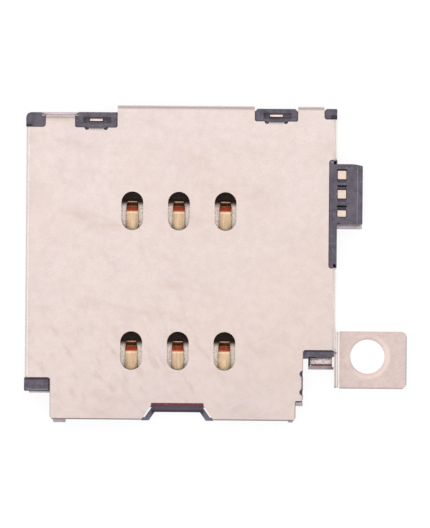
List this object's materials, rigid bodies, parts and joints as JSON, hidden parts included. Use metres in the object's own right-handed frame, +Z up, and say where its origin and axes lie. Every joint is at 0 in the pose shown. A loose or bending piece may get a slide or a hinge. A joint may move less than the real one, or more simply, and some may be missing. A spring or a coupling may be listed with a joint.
{
  "type": "sim card socket",
  "caption": "Low card socket: folded metal cover with windows over gold contact springs in a dark moulding, notched mouth, side detect switch and a screw ear.",
  "frame": {"origin": "on the face that meets the board, under the middle of the contact field", "axes": "+X to the switch block and the ear, +Y the way the card goes in, +Z up through the cover"},
  "size_m": [0.0209, 0.0174, 0.0015],
  "materials": {
    "cover_nickel": "satin nickel plate with a warm tint over stamped copper alloy",
    "plate_steel": "matt, finely textured stamped sheet",
    "housing_plastic": "dark grey glass-filled moulding with light specks",
    "contact_gold": "gold flash over copper alloy",
    "pad_gold": "pale gold plate"
  },
  "bodies": {
    "socket": {"cover_shell": "cover_nickel", "bottom_plate": "plate_steel", "housing": "housing_plastic", "detect_contact": "pad_gold", "ground_terminal": "pad_gold"},
    "spring_c1": {"contact_c1": "contact_gold"},
    "spring_c2": {"contact_c2": "contact_gold"},
    "spring_c3": {"contact_c3": "contact_gold"},
    "spring_c5": {"contact_c5": "contact_gold"},
    "spring_c6": {"contact_c6": "contact_gold"},
    "spring_c7": {"contact_c7": "contact_gold"},
    "leaf": {"detect_leaf": "pad_gold"}
  },
  "joints": [
    {"name": "spring_c1_press", "type": "hinge", "parent": "socket", "child": "spring_c1", "pos_m": [-0.00254, 0.00169, 0.00031], "axis": [1, 0, 0], "range_deg": [-10, 0], "stiffness_Nm_per_rad": 0.0045},
    {"name": "spring_c2_press", "type": "hinge", "parent": "socket", "child": "spring_c2", "pos_m": [0, 0.00169, 0.00031], "axis": [1, 0, 0], "range_deg": [-10, 0], "stiffness_Nm_per_rad": 0.0045},
    {"name": "spring_c3_press", "type": "hinge", "parent": "socket", "child": "spring_c3", "pos_m": [0.00254, 0.00169, 0.00031], "axis": [1, 0, 0], "range_deg": [-10, 0], "stiffness_Nm_per_rad": 0.0045},
    {"name": "spring_c5_press", "type": "hinge", "parent": "socket", "child": "spring_c5", "pos_m": [-0.00254, -0.00593, 0.00031], "axis": [1, 0, 0], "range_deg": [-10, 0], "stiffness_Nm_per_rad": 0.0045},
    {"name": "spring_c6_press", "type": "hinge", "parent": "socket", "child": "spring_c6", "pos_m": [0, -0.00593, 0.00031], "axis": [1, 0, 0], "range_deg": [-10, 0], "stiffness_Nm_per_rad": 0.0045},
    {"name": "spring_c7_press", "type": "hinge", "parent": "socket", "child": "spring_c7", "pos_m": [0.00254, -0.00593, 0.00031], "axis": [1, 0, 0], "range_deg": [-10, 0], "stiffness_Nm_per_rad": 0.0045},
    {"name": "detect_leaf_press", "type": "hinge", "parent": "socket", "child": "leaf", "pos_m": [0.00887, 0.00585, 0.0009], "axis": [0, 0, 1], "range_deg": [0, 4.3], "stiffness_Nm_per_rad": 0.01}
  ]
}
